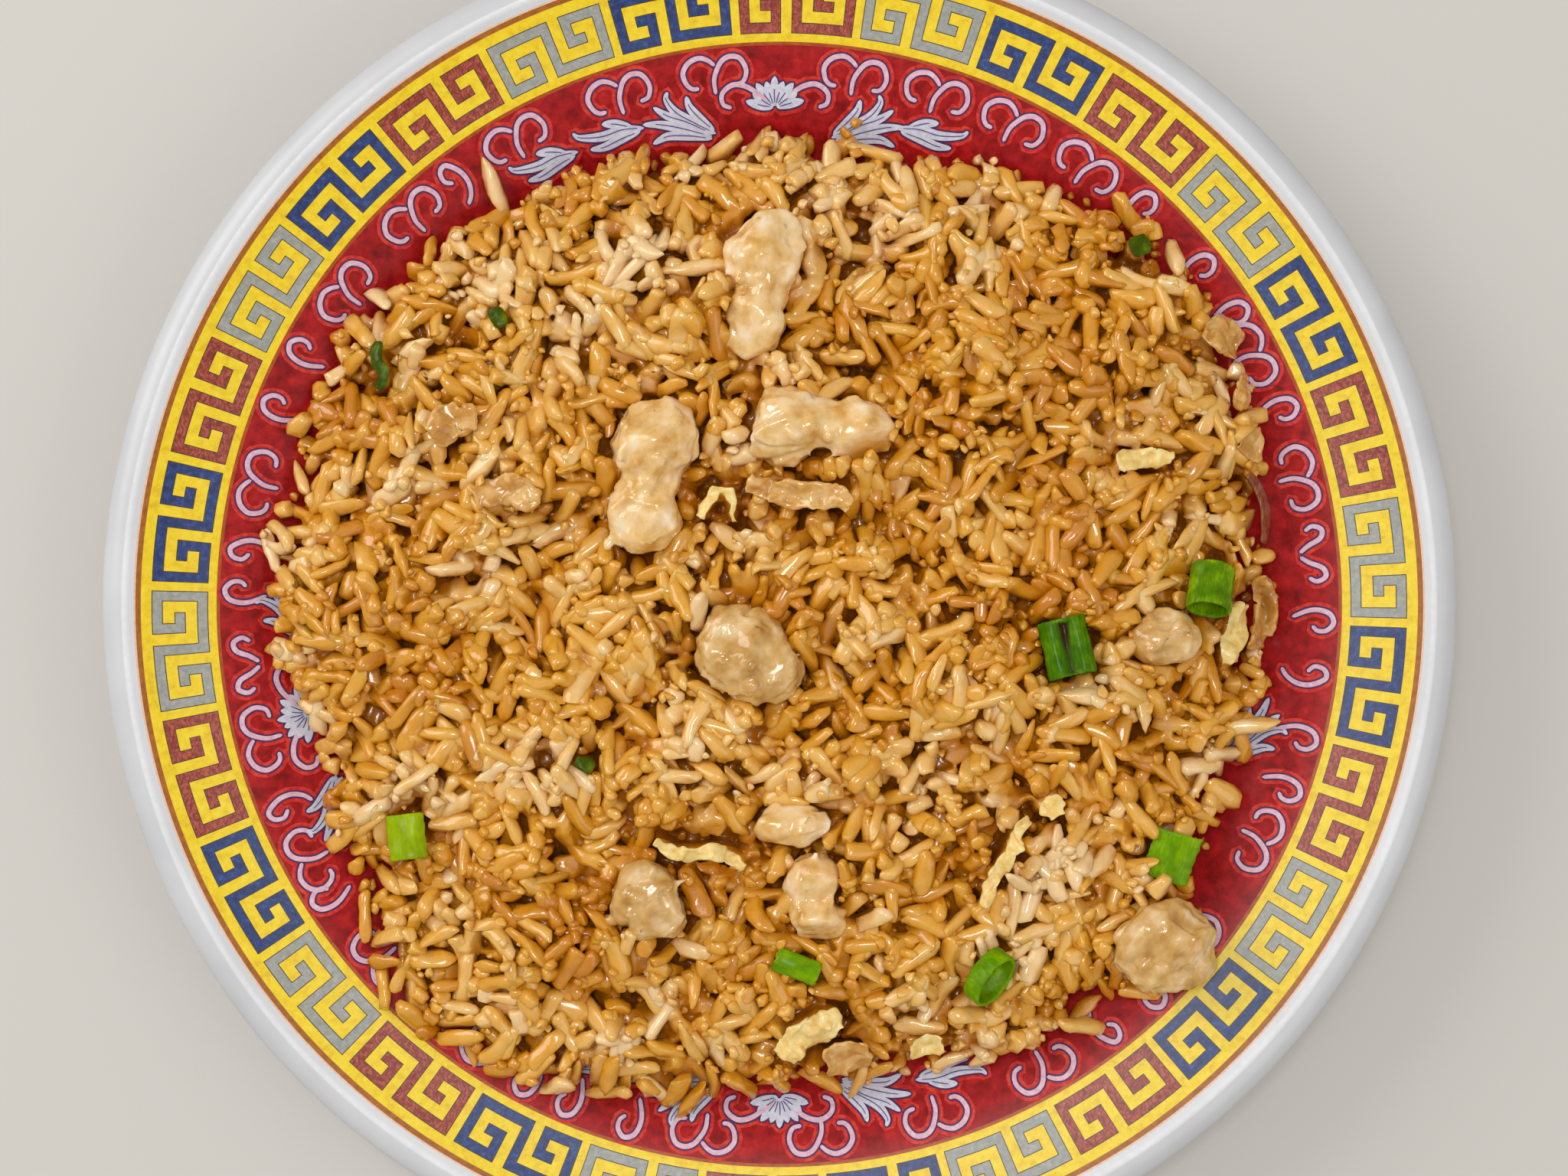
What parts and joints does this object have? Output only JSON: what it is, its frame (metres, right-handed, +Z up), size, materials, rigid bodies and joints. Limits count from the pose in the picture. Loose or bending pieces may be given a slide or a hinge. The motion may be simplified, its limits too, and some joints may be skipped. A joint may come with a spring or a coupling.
{
  "type": "plate of chicken fried rice",
  "caption": "Round melamine plate with a patterned rim, heaped with fried rice that holds torn chicken, scallion, egg and onion; it stands on a foot ring.",
  "frame": {"origin": "middle of the foot ring, on the plane that the plate stands on", "axes": "+Z up, +X to the right and +Y away from the eater, as in the picture taken from above"},
  "size_m": [0.254, 0.254, 0.0388],
  "materials": {
    "melamine": "moulded melamine, glossy, with a printed red, yellow, blue and grey pattern under the glaze and a white lip",
    "fried_rice": "cooked long grains, tan to golden brown, slightly translucent and oily",
    "cooked_chicken": "torn cooked chicken, pale tan, moist",
    "scallion_leaf": "cut scallion leaf, green, moist, with fine veins along it",
    "cooked_egg": "torn strips of thin cooked egg, pale yellow",
    "cooked_onion": "cooked onion and cabbage, tan, translucent and oily",
    "browned_strip": "soy-browned strip of onion, reddish brown and oily"
  },
  "bodies": {
    "root": {"plate": "melamine", "rice": "fried_rice", "chicken_1": "cooked_chicken", "chicken_2": "cooked_chicken", "chicken_3": "cooked_chicken", "chicken_4": "cooked_chicken", "chicken_5": "cooked_chicken", "chicken_6": "cooked_chicken", "chicken_7": "cooked_chicken", "chicken_8": "cooked_chicken", "chicken_9": "cooked_chicken", "scallion_1": "scallion_leaf", "scallion_2": "scallion_leaf", "scallion_3": "scallion_leaf", "scallion_4": "scallion_leaf", "scallion_5": "scallion_leaf", "scallion_6": "scallion_leaf", "leaf_bit_1": "scallion_leaf", "leaf_bit_2": "scallion_leaf", "leaf_bit_3": "scallion_leaf", "leaf_bit_4": "scallion_leaf", "egg_1": "cooked_egg", "egg_2": "cooked_egg", "egg_3": "cooked_egg", "egg_4": "cooked_egg", "egg_5": "cooked_egg", "egg_6": "cooked_egg", "egg_7": "cooked_egg", "egg_8": "cooked_egg", "onion_1": "cooked_onion", "onion_2": "cooked_onion", "onion_3": "cooked_onion", "onion_4": "cooked_onion", "onion_5": "cooked_onion", "onion_6": "cooked_onion", "onion_7": "cooked_onion", "cabbage_1": "cooked_onion", "brown_strip": "browned_strip"}
  },
  "joints": []
}
